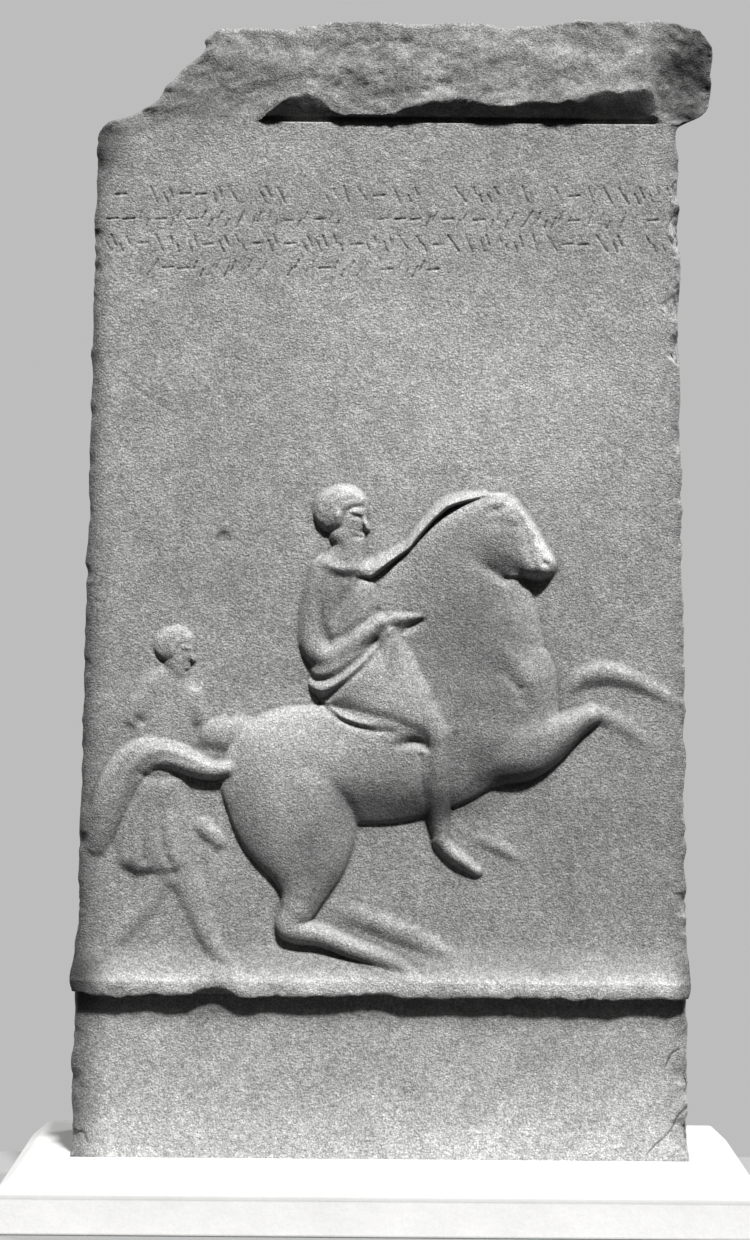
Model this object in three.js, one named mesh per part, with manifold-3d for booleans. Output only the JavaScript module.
// Carved stone stele standing in the shallow socket of its plinth.
//
// Millimetres, +Z up. The carved face looks along -Y and +X is to its right.
// The origin is the middle of the underside of the plinth.
//
// stele   one block of marble: shaft, broken cornice, ledge, horseman relief
// plinth  one block with sloping shoulders and a socket for the foot
import * as THREE from "three";
import Module from "manifold-3d";

// ------------------------------------------------------------ main sizes
const THICKNESS = 130;
const HALF_FOOT = 250;
const HALF_TOP = 234;
const SHAFT_TOP = 836;
const STELE_TOP = 914;
const SOCKET_DEPTH = 25;
const CLEARANCE = 0.3;

const RETURN_OVERHANG = 30;
const LEFT_ARRIS = 7;
const RIGHT_ARRIS = 3;

const GROUND_LINE = 150;
const LEDGE_DEPTH = 19;
const LEDGE_BOTTOM = 132;
const LEDGE_COVE = 22;

const PLINTH_HALF_WIDTH = 305;
const PLINTH_HALF_DEPTH = 127;
const PLINTH_WALL = 30;
const PLINTH_CHAMFER = 17;
const PLINTH_RISE = 3;
const PLINTH_ARRIS = 1.5;
const PLINTH_TOP = PLINTH_WALL + PLINTH_CHAMFER + PLINTH_RISE;

// how closely the facets follow the carved surface
const GRID_ACROSS = 256;
const GRID_UP = 512;
const FACE_BUDGET = 8600;
const SAMPLE = 1;

// rows of the face grid: [row, height above the foot line]
const UNDERSIDE_ROW = 64;
const NOSE_ROW = 72;
const ROWS = [[0, -SOCKET_DEPTH], [8, 0], [UNDERSIDE_ROW, LEDGE_BOTTOM], [NOSE_ROW, LEDGE_BOTTOM],
  [80, 140], [96, 152], [352, 552], [448, SHAFT_TOP], [GRID_UP, STELE_TOP]];

const STONE = { color: 0x9a9891, roughness: 0.85, metalness: 0.0 };
const PLASTER = { color: 0xdedcd6, roughness: 0.7, metalness: 0.0 };

// ------------------------------------------------------------ the carving
// A limb is a chain of [x, z above the ground line, half width, height].
const HORSE = {
  barrel: [[-72, 160, 54, 15], [-35, 168, 50, 15], [8, 174, 52, 14.5], [42, 186, 54, 14.5],
    [76, 210, 56, 15.5]],
  quarter: [[-74, 156, 57, 16], [-70, 128, 50, 17], [-62, 98, 35, 17], [-62, 72, 21, 15],
    [-67, 52, 14, 13]],
  stifle: [[-58, 140, 30, 16.5], [-48, 128, 24, 16.5]],
  neck: [[76, 208, 60, 15.5], [72, 250, 57, 15.5], [66, 290, 52, 15], [64, 322, 42, 14.5],
    [72, 350, 32, 14], [84, 366, 20, 12.5]],
  mane: [[20, 270, 22, 9], [24, 300, 20, 9.5], [34, 326, 17, 10.5], [50, 350, 16, 12],
    [68, 368, 14, 12]],
  breast: [[110, 210, 32, 15], [118, 234, 24, 13.5], [122, 246, 16, 11]],
  jowl: [[94, 348, 22, 15.5], [101, 339, 19, 16]],
  nose: [[100, 372, 11, 14.5], [112, 354, 12, 15.5], [123, 336, 10.5, 16], [129, 327, 8.5, 16]],
  ear: [[90, 384, 5, 11], [98, 387, 3, 9]],
  forearm: [[88, 188, 34, 16.5], [110, 182, 26, 18.5], [132, 189, 18.5, 18],
    [152, 201, 12.5, 16], [169, 209, 8, 13]],
};
const HORSE_ENDS = {
  hindCannon: [[-68, 50, 13.5, 13], [-75, 38, 11, 13], [-68, 34, 11, 13], [-48, 30, 9.5, 12.5],
    [-24, 20, 8.5, 12], [-4, 13, 8.5, 11.5], [12, 7, 8, 11.5], [24, 1, 6, 12]],
  tail: [[-124, 166, 7, 12], [-138, 166, 7.5, 12], [-154, 172, 10, 12], [-170, 179, 12.5, 12],
    [-187, 180, 13.5, 12], [-201, 173, 14, 12], [-211, 158, 13.5, 11.5], [-216, 140, 12.5, 10.5],
    [-221, 122, 11.5, 9], [-228, 107, 9, 6]],
};
const FAR_LIMBS = {
  farHindLeg: [[-34, 48, 8, 2], [-4, 40, 9, 4], [28, 28, 10, 4.5], [48, 18, 9.5, 4.5],
    [60, 9, 8, 4.5]],
  farForeleg: [[156, 237, 8, 3.5], [172, 242, 8.5, 5], [190, 243, 7.5, 5], [206, 238, 6.5, 4.5],
    [220, 230, 6, 4], [232, 219, 6, 2.5]],
  nearForeCannon: [[170, 209, 7, 7], [186, 205, 7, 3.5], [200, 197, 6.5, 3], [212, 185, 5, 2]],
  farFoot: [[78, 107, 4, 1.5], [90, 104, 6, 3.2], [102, 98, 5, 2.8], [111, 92, 3, 1]],
};
const RIDER = {
  back: [[-46, 322, 15, 9.5], [-48, 300, 17, 10.5], [-48, 276, 19, 11]],
  chest: [[-32, 322, 16, 9.5], [-26, 300, 22, 10], [-28, 275, 24, 11], [-34, 250, 24, 13]],
  lap: [[-36, 238, 25, 15], [-14, 236, 32, 17.5], [10, 224, 28, 18.5], [30, 209, 20, 19.5],
    [46, 195, 14, 20]],
  cloth: [[0, 282, 8, 13], [8, 262, 14, 15], [18, 240, 16, 17], [30, 218, 14, 18.5]],
  shin: [[45, 192, 13.5, 20], [45, 166, 13, 19.5], [44.5, 142, 11.5, 17], [45, 124, 8.5, 13],
    [47, 109, 6.5, 10]],
  foot: [[46, 107, 6.5, 9], [56, 97, 7, 9], [67, 89, 6, 8.5], [77, 82, 4, 7]],
  neck: [[-31, 348, 10, 8], [-34, 336, 13, 9], [-38, 328, 16, 9.5]],
};
const RIDER_ARMS = {
  reinArm: [[-51, 322, 11, 12], [-58, 302, 9.5, 12.5], [-62, 280, 8.5, 13], [-59.5, 262, 9.5, 14.5],
    [-50, 252.5, 10, 15.5], [-34, 259, 10, 16], [-17, 273, 9, 16.5], [-2, 285, 8.5, 16.5]],
  hand: [[8, 289, 7, 16], [18, 290, 7.5, 16], [26, 290, 6, 15]],
  farArm: [[-34, 328, 12, 9.5], [-14, 333, 8.5, 11], [4, 337.5, 5, 12], [18, 346.5, 4.5, 13.5],
    [32, 361, 4.5, 15], [46, 376.5, 4.5, 16], [58, 385, 5, 16.5], [70, 388, 5.5, 16]],
};
const RIDER_HEAD = {
  skull: [[-37, 370, 18.5, 10], [-33, 369, 19.5, 10.5]],
  face: [[-24, 366, 14, 10], [-21, 356, 12, 9.5]],
};
const ATTENDANT = {
  torso: [[-176, 224, 25, 5.5], [-178, 198, 25, 6], [-181, 165, 26, 6.5], [-184, 130, 28, 7],
    [-185, 92, 31, 7]],
  head: [[-170, 262, 15.5, 6.5], [-166, 254, 14, 6]],
  neck: [[-168, 245, 9, 4], [-170, 232, 12, 5]],
  frontLeg: [[-165, 85, 15, 5], [-152, 66, 12, 5], [-143, 45, 10.5, 5], [-134, 25, 8.5, 5.5],
    [-122, 12, 8, 6], [-108, 3, 6, 8]],
  rearLeg: [[-182, 85, 14, 3.5], [-196, 62, 10, 2.8], [-208, 42, 8, 2.8], [-217, 24, 7, 3],
    [-214, 8, 7, 4]],
  hand: [[-150, 170, 6, 4], [-146, 140, 6.5, 4.5], [-142, 120, 8, 5]],
  fist: [[-138, 191, 11, 4.5], [-122, 188, 12, 4.5]],
  upperArm: [[-152, 225, 9, 4], [-143, 207, 8, 4]],
};

// Profiles of the broken cornice: [x, z] along the front, [x, z] down the right end.
const LIP_LINE = [[-102, 838], [-84, 856], [-66, 856], [-47, 842], [0, 842], [16, 850], [60, 853],
  [100, 850], [136, 853], [160, 862], [212, 862], [222, 846]];
const LIP_REACH = [[-110, 0], [-84, 16], [-47, 7], [0, 7], [30, 13], [110, 12], [160, 18],
  [208, 18], [226, 4], [270, 2]];
const RIGHT_END = [[835, 0], [844, 12], [850.5, 20.5], [858.5, 26.5], [866, RETURN_OVERHANG],
  [900, RETURN_OVERHANG], [909, 22], [STELE_TOP, 14]];
const LEFT_BREAK = [[806, 0], [828, 1.5], [838, 13], [850, 41], [869, 53], [889, 73], [903, 85],
  [STELE_TOP, 94]];

// ------------------------------------------------------------ small helpers
const clamp = (value, low, high) => Math.min(Math.max(value, low), high);
const mix = (a, b, t) => a + (b - a) * t;

function along(profile, x) {
  if (x <= profile[0][0]) return profile[0][1];
  for (let i = 1; i < profile.length; i += 1) {
    if (x <= profile[i][0]) {
      const t = (x - profile[i - 1][0]) / (profile[i][0] - profile[i - 1][0]);
      return mix(profile[i - 1][1], profile[i][1], t);
    }
  }
  return profile[profile.length - 1][1];
}

function joined(a, b, width) {
  const reach = Math.max(Math.min(width, 2 * Math.min(a, b)), 1e-6);
  const overlap = Math.max(reach - Math.abs(a - b), 0) / reach;
  return Math.max(a, b) + (overlap * overlap * reach) / 4;
}

// A smooth curve through the points of a limb, two millimetres a step.
function smoothChain(points) {
  const steps = [];
  const last = points.length - 1;
  const at = (i, c) => {
    if (i < 0) return 2 * points[0][c] - points[1][c];
    if (i > last) return 2 * points[last][c] - points[last - 1][c];
    return points[i][c];
  };
  for (let i = 0; i < last; i += 1) {
    const length = Math.hypot(at(i + 1, 0) - at(i, 0), at(i + 1, 1) - at(i, 1));
    const count = Math.max(2, Math.floor(length / 2));
    for (let k = 0; k < count; k += 1) {
      const t = k / count;
      steps.push([0, 1, 2, 3].map((c) => {
        const [a, b, d, e] = [at(i - 1, c), at(i, c), at(i + 1, c), at(i + 2, c)];
        const bend = (2 * a - 5 * b + 4 * d - e) * t * t + (3 * b - a - 3 * d + e) * t ** 3;
        return 0.5 * (2 * b + (d - a) * t + bend);
      }));
    }
  }
  steps.push(points[last]);
  return steps;
}

// ------------------------------------------------------------ height field
// Heights over the shaft's front plane, one value a SAMPLE, held as one array.
const FIELD_LEFT = -260;
const FIELD_WIDE = Math.round(520 / SAMPLE) + 1;
const FIELD_HIGH = Math.round(600 / SAMPLE) + 1;

function emptyField() {
  return new Float64Array(FIELD_WIDE * FIELD_HIGH);
}

function carveLimb(field, points, power, edge) {
  for (const [x, z, radius, height] of smoothChain(points)) {
    const top = z + GROUND_LINE;
    const low = Math.max(Math.ceil((top - radius) / SAMPLE), 0);
    const high = Math.min(Math.floor((top + radius) / SAMPLE), FIELD_HIGH - 1);
    for (let j = low; j <= high; j += 1) {
      const dz = j * SAMPLE - top;
      const half = Math.sqrt(Math.max(radius * radius - dz * dz, 0));
      const first = Math.max(Math.ceil((x - half - FIELD_LEFT) / SAMPLE), 0);
      const final = Math.min(Math.floor((x + half - FIELD_LEFT) / SAMPLE), FIELD_WIDE - 1);
      for (let i = first; i <= final; i += 1) {
        const dx = FIELD_LEFT + i * SAMPLE - x;
        const ratio = Math.min((dx * dx + dz * dz) / (radius * radius), 1);
        const lift = height * (1 - ratio ** (power / 2)) ** edge;
        const slot = j * FIELD_WIDE + i;
        if (lift > field[slot]) field[slot] = lift;
      }
    }
  }
}

function blend(field, other, width) {
  for (let k = 0; k < field.length; k += 1) {
    field[k] = width > 0 ? joined(field[k], other[k], width) : Math.max(field[k], other[k]);
  }
}

function carveGroup(limbs, width, power, edge) {
  const group = emptyField();
  for (const points of Object.values(limbs)) {
    const limb = emptyField();
    carveLimb(limb, points, power, edge);
    blend(group, limb, width);
  }
  return group;
}

function carveRelief() {
  const field = carveGroup(ATTENDANT, 2, 2.0, 0.6);
  blend(field, carveGroup(FAR_LIMBS, 2, 2.0, 0.6), 0);
  const horse = carveGroup(HORSE, 3, 2.6, 0.5);
  blend(horse, carveGroup(HORSE_ENDS, 3, 2.2, 0.55), 4);
  blend(field, horse, 0);
  const rider = carveGroup(RIDER, 2.5, 2.2, 0.55);
  blend(rider, carveGroup(RIDER_ARMS, 1.5, 2.2, 0.55), 0.5);
  blend(field, rider, 0);
  blend(field, carveGroup(RIDER_HEAD, 3, 2.2, 0.55), 0);
  return field;
}

const relief = carveRelief();

function reliefAt(x, z) {
  const u = clamp((x - FIELD_LEFT) / SAMPLE, 0, FIELD_WIDE - 1.001);
  const v = clamp(z / SAMPLE, 0, FIELD_HIGH - 1.001);
  const i = Math.floor(u);
  const j = Math.floor(v);
  const slot = j * FIELD_WIDE + i;
  const low = mix(relief[slot], relief[slot + 1], u - i);
  const high = mix(relief[slot + FIELD_WIDE], relief[slot + FIELD_WIDE + 1], u - i);
  return mix(low, high, v - j);
}

// ------------------------------------------------------------ block outlines
function shaftHalf(z) {
  return mix(HALF_FOOT, HALF_TOP, clamp(z / SHAFT_TOP, 0, 1));
}

function leftEdge(z) {
  return -shaftHalf(z) + along(LEFT_BREAK, z);
}

function rightEdge(z) {
  return shaftHalf(z) + along(RIGHT_END, z);
}

// The ledge is a nose with a flat underside and a cove that runs up into the ground.
function ledgeAt(x, z) {
  const rise = clamp((GROUND_LINE + LEDGE_COVE - z) / 26, 0, 1);
  const nose = LEDGE_DEPTH * (1 - 0.14 * Math.max(0, (140 - z) / 8) ** 2);
  return Math.min(LEDGE_DEPTH * rise ** 2.2, nose);
}

function corniceAt(x, z) {
  const roughness = 1.6 * Math.sin(x / 13 + z / 7) + 1.2 * Math.sin(z / 5 - x / 23);
  const face = 3 + 0.22 * (z - SHAFT_TOP);
  const shoulder = 800 + clamp((x + HALF_TOP) * 0.27, 0, 36);
  if (x < -84 && z > shoulder) {
    const broken = -0.30 * (z - shoulder) + clamp((z - shoulder) / 30, 0, 1) * roughness;
    const t = clamp((x + 112) / 28, 0, 1);
    if (t <= 0 || z < SHAFT_TOP) return broken * (1 - t);
    return mix(broken, solidCornice(x, z, roughness, face), t);
  }
  if (z <= SHAFT_TOP) return 0;
  return solidCornice(x, z, roughness, face);
}

function solidCornice(x, z, roughness, face) {
  const lip = along(LIP_LINE, x);
  const reach = along(LIP_REACH, x);
  if (z <= lip) return reach * clamp((z - SHAFT_TOP) / (lip - SHAFT_TOP), 0, 1) ** 0.7;
  const t = clamp((z - lip) / (STELE_TOP - lip), 0, 1);
  return mix(reach, -face * 0.55, t ** 0.8) + roughness * clamp((z - lip) / 8, 0, 1);
}

function frontHeight(x, z, row) {
  if (row <= UNDERSIDE_ROW) return 0;
  const shown = clamp((row - UNDERSIDE_ROW) / (NOSE_ROW - UNDERSIDE_ROW), 0, 1);
  const ledge = ledgeAt(x, z) * shown;
  if (row <= NOSE_ROW) return ledge;
  const height = Math.max(joined(reliefAt(x, z), ledge, 3), ledge);
  return z > 780 ? height + corniceAt(x, z) : height;
}

// ------------------------------------------------------------ facets
// Right-angled triangles that halve only where the surface bends.
class FacetPatch {
  constructor(across, up, place) {
    this.across = across;
    this.up = up;
    this.points = new Float64Array(3 * (across + 1) * (up + 1));
    this.error = new Float64Array((across + 1) * (up + 1));
    for (let j = 0; j <= up; j += 1) {
      for (let i = 0; i <= across; i += 1) {
        const [x, y, z] = place(i / across, j / up);
        this.points.set([x, y, z], 3 * this.index(i, j));
      }
    }
    this.measure();
  }

  index(i, j) {
    return j * (this.across + 1) + i;
  }

  // distance of point m from the straight line a-b
  bend(a, b, m) {
    const p = this.points;
    const ab = [0, 1, 2].map((c) => p[3 * b + c] - p[3 * a + c]);
    const am = [0, 1, 2].map((c) => p[3 * m + c] - p[3 * a + c]);
    const cx = ab[1] * am[2] - ab[2] * am[1];
    const cy = ab[2] * am[0] - ab[0] * am[2];
    const cz = ab[0] * am[1] - ab[1] * am[0];
    return Math.hypot(cx, cy, cz) / Math.max(Math.hypot(...ab), 1e-9);
  }

  raise(slot, i, j) {
    if (i < 0 || j < 0 || i > this.across || j > this.up) return;
    this.error[slot] = Math.max(this.error[slot], this.error[this.index(i, j)]);
  }

  measure() {
    const largest = Math.min(this.across, this.up) / 2;
    for (let s = 1; s <= largest; s *= 2) {
      for (let j = 0; j <= this.up; j += s) {
        for (let i = 0; i <= this.across; i += s) {
          const oddI = (i / s) % 2 === 1;
          const oddJ = (j / s) % 2 === 1;
          if (oddI === oddJ) continue;
          const m = this.index(i, j);
          const a = oddI ? this.index(i - s, j) : this.index(i, j - s);
          const b = oddI ? this.index(i + s, j) : this.index(i, j + s);
          this.error[m] = Math.max(this.error[m], this.bend(a, b, m));
          if (s > 1) {
            const h = s / 2;
            this.raise(m, i - h, j - h);
            this.raise(m, i + h, j - h);
            this.raise(m, i - h, j + h);
            this.raise(m, i + h, j + h);
          }
        }
      }
      for (let j = s; j < this.up; j += 2 * s) {
        for (let i = s; i < this.across; i += 2 * s) {
          const m = this.index(i, j);
          const even = ((i - s) / (2 * s) + (j - s) / (2 * s)) % 2 === 0;
          const a = even ? this.index(i - s, j - s) : this.index(i + s, j - s);
          const b = even ? this.index(i + s, j + s) : this.index(i - s, j + s);
          this.error[m] = Math.max(this.error[m], this.bend(a, b, m));
          this.raise(m, i - s, j);
          this.raise(m, i + s, j);
          this.raise(m, i, j - s);
          this.raise(m, i, j + s);
        }
      }
    }
  }

  split(a, b, c, tolerance, out) {
    const apart = Math.max(Math.abs(a[0] - b[0]), Math.abs(a[1] - b[1]));
    const m = [(a[0] + b[0]) / 2, (a[1] + b[1]) / 2];
    if (apart > 1 && this.error[this.index(...m)] > tolerance) {
      this.split(c, a, m, tolerance, out);
      this.split(b, c, m, tolerance, out);
      return;
    }
    out.push([a, b, c]);
  }

  triangles(tolerance) {
    const out = [];
    const size = Math.min(this.across, this.up);
    for (let j = 0; j < this.up; j += size) {
      for (let i = 0; i < this.across; i += size) {
        const even = (i / size + j / size) % 2 === 0;
        const corners = [[i, j], [i + size, j], [i + size, j + size], [i, j + size]];
        const [p, q, r, s] = even ? corners : [corners[1], corners[2], corners[3], corners[0]];
        this.split(r, p, q, tolerance, out);
        this.split(p, r, s, tolerance, out);
      }
    }
    return out;
  }
}

// The smallest tolerance, in fine steps, that keeps a patch inside a triangle budget.
function withinBudget(patch, budget) {
  let tolerance = 0.3;
  let found = patch.triangles(tolerance);
  while (found.length > budget) {
    tolerance *= 1.05;
    found = patch.triangles(tolerance);
  }
  return found;
}

// ------------------------------------------------------------ closed block
class Block {
  constructor() {
    this.positions = [];
    this.faces = [];
  }

  // adds a patch and returns its four borders as lists of [fraction, vertex]
  addPatch(patch, triangles, flip) {
    const names = new Map();
    const vertex = ([i, j]) => {
      const key = patch.index(i, j);
      if (!names.has(key)) {
        names.set(key, this.positions.length / 3);
        for (let c = 0; c < 3; c += 1) this.positions.push(patch.points[3 * key + c]);
      }
      return names.get(key);
    };
    for (const [a, b, c] of triangles) {
      const turn = (b[0] - a[0]) * (c[1] - a[1]) - (b[1] - a[1]) * (c[0] - a[0]);
      const order = turn > 0 !== flip ? [a, b, c] : [a, c, b];
      this.faces.push(order.map(vertex));
    }
    const border = (keep, measure) => {
      const list = [];
      for (const [key, name] of names) {
        const i = key % (patch.across + 1);
        const j = (key - i) / (patch.across + 1);
        if (keep(i, j)) list.push([measure(i, j), name]);
      }
      return list.sort((p, q) => p[0] - q[0]);
    };
    return {
      left: border((i) => i === 0, (i, j) => j / patch.up),
      right: border((i) => i === patch.across, (i, j) => j / patch.up),
      bottom: border((i, j) => j === 0, (i) => i / patch.across),
      top: border((i, j) => j === patch.up, (i) => i / patch.across),
    };
  }

  // moves a copy of a border and joins it on with a strip
  addBevel(border, shift, flip) {
    const moved = border.map(([fraction, name]) => {
      const point = this.positions.slice(3 * name, 3 * name + 3);
      const [dx, dy] = shift(point[2] - PLINTH_TOP);
      this.positions.push(point[0] + dx, point[1] + dy, point[2]);
      return [fraction, this.positions.length / 3 - 1];
    });
    this.addStrip(border, moved, flip);
    return moved;
  }

  // a strip of triangles between two borders
  addStrip(front, back, flip) {
    let i = 0;
    let j = 0;
    const push = (a, b, c) => this.faces.push(flip ? [a, c, b] : [a, b, c]);
    while (i < front.length - 1 || j < back.length - 1) {
      const nextFront = i < front.length - 1 ? front[i + 1][0] : Infinity;
      const nextBack = j < back.length - 1 ? back[j + 1][0] : Infinity;
      if (nextFront <= nextBack) {
        push(front[i][1], front[i + 1][1], back[j][1]);
        i += 1;
      } else {
        push(front[i][1], back[j + 1][1], back[j][1]);
        j += 1;
      }
    }
  }

  geometry() {
    const geometry = new THREE.BufferGeometry();
    geometry.setAttribute("position", new THREE.Float32BufferAttribute(this.positions, 3));
    geometry.setIndex(this.faces.flat());
    geometry.computeVertexNormals();
    return geometry;
  }
}

// ------------------------------------------------------------ stele
// The worn front arrises fade out where the foot enters the socket.
function bevel(size, z) {
  return mix(CLEARANCE, size, clamp(z / 8, 0, 1));
}

function steleGeometry() {
  const front = new FacetPatch(GRID_ACROSS, GRID_UP, (u, v) => {
    const row = v * GRID_UP;
    const z = along(ROWS, row);
    const x = mix(leftEdge(z) + bevel(LEFT_ARRIS, z), rightEdge(z) - bevel(RIGHT_ARRIS, z), u);
    return [x, -THICKNESS / 2 - frontHeight(x, z, row), z + PLINTH_TOP];
  });
  const back = new FacetPatch(GRID_ACROSS, GRID_UP, (u, v) => {
    const z = along(ROWS, v * GRID_UP);
    const x = mix(leftEdge(z), rightEdge(z), u);
    return [x, THICKNESS / 2, z + PLINTH_TOP];
  });
  const block = new Block();
  const f = block.addPatch(front, withinBudget(front, FACE_BUDGET), false);
  const b = block.addPatch(back, back.triangles(1.5), true);
  const leftBevel = (z) => [-bevel(LEFT_ARRIS, z), bevel(LEFT_ARRIS, z)];
  const rightBevel = (z) => [bevel(RIGHT_ARRIS, z), bevel(RIGHT_ARRIS, z)];
  const left = block.addBevel(f.left, leftBevel, false);
  const right = block.addBevel(f.right, rightBevel, true);
  block.addStrip(left, b.left, false);
  block.addStrip(right, b.right, true);
  const first = (list) => list[0][1];
  const last = (list) => list[list.length - 1][1];
  const framed = (border, end) => [[-1, end(left)], ...border, [2, end(right)]];
  block.addStrip(framed(f.top, last), b.top, false);
  block.addStrip(framed(f.bottom, first), b.bottom, true);
  return block.geometry();
}

// ------------------------------------------------------------ plinth
// A stack of rectangular rings, closed at the bottom and the top.
function stackedBlock(rings) {
  const positions = [];
  const index = [];
  for (const [halfX, halfY, z] of rings) {
    positions.push(-halfX, -halfY, z, halfX, -halfY, z, halfX, halfY, z, -halfX, halfY, z);
  }
  for (let level = 0; level < rings.length - 1; level += 1) {
    for (let side = 0; side < 4; side += 1) {
      const a = 4 * level + side;
      const b = 4 * level + ((side + 1) % 4);
      index.push(a, b, b + 4, a, b + 4, a + 4);
    }
  }
  const top = 4 * (rings.length - 1);
  index.push(0, 2, 1, 0, 3, 2, top, top + 1, top + 2, top, top + 2, top + 3);
  return { positions, index };
}

function plinthGeometry(wasm) {
  const solid = ({ positions, index }) => new wasm.Manifold(new wasm.Mesh({
    numProp: 3,
    vertProperties: new Float32Array(positions),
    triVerts: new Uint32Array(index),
  }));
  const shoulder = PLINTH_WALL + PLINTH_CHAMFER;
  const body = solid(stackedBlock([
    [PLINTH_HALF_WIDTH - PLINTH_ARRIS, PLINTH_HALF_DEPTH - PLINTH_ARRIS, 0],
    [PLINTH_HALF_WIDTH, PLINTH_HALF_DEPTH, PLINTH_ARRIS],
    [PLINTH_HALF_WIDTH, PLINTH_HALF_DEPTH, PLINTH_WALL],
    [PLINTH_HALF_WIDTH - PLINTH_CHAMFER, PLINTH_HALF_DEPTH - PLINTH_CHAMFER, shoulder],
    [HALF_FOOT + CLEARANCE, THICKNESS / 2 + CLEARANCE, PLINTH_TOP],
  ]));
  const wide = HALF_FOOT + CLEARANCE;
  const deep = THICKNESS / 2 + CLEARANCE;
  const socket = solid(stackedBlock([
    [wide, deep, PLINTH_TOP - SOCKET_DEPTH - CLEARANCE],
    [wide, deep, PLINTH_TOP + 10],
  ]));
  const cut = body.subtract(socket).getMesh();
  const geometry = new THREE.BufferGeometry();
  geometry.setAttribute("position", new THREE.BufferAttribute(cut.vertProperties, 3));
  geometry.setIndex(new THREE.BufferAttribute(cut.triVerts, 1));
  geometry.computeVertexNormals();
  return geometry;
}

// ------------------------------------------------------------ object
const wasm = await Module();
wasm.setup();

const group = new THREE.Group();

const stele = new THREE.Mesh(steleGeometry(), new THREE.MeshStandardMaterial(STONE));
stele.name = "stele";
group.add(stele);

const plinth = new THREE.Mesh(plinthGeometry(wasm), new THREE.MeshStandardMaterial(PLASTER));
plinth.name = "plinth";
group.add(plinth);

export default group;
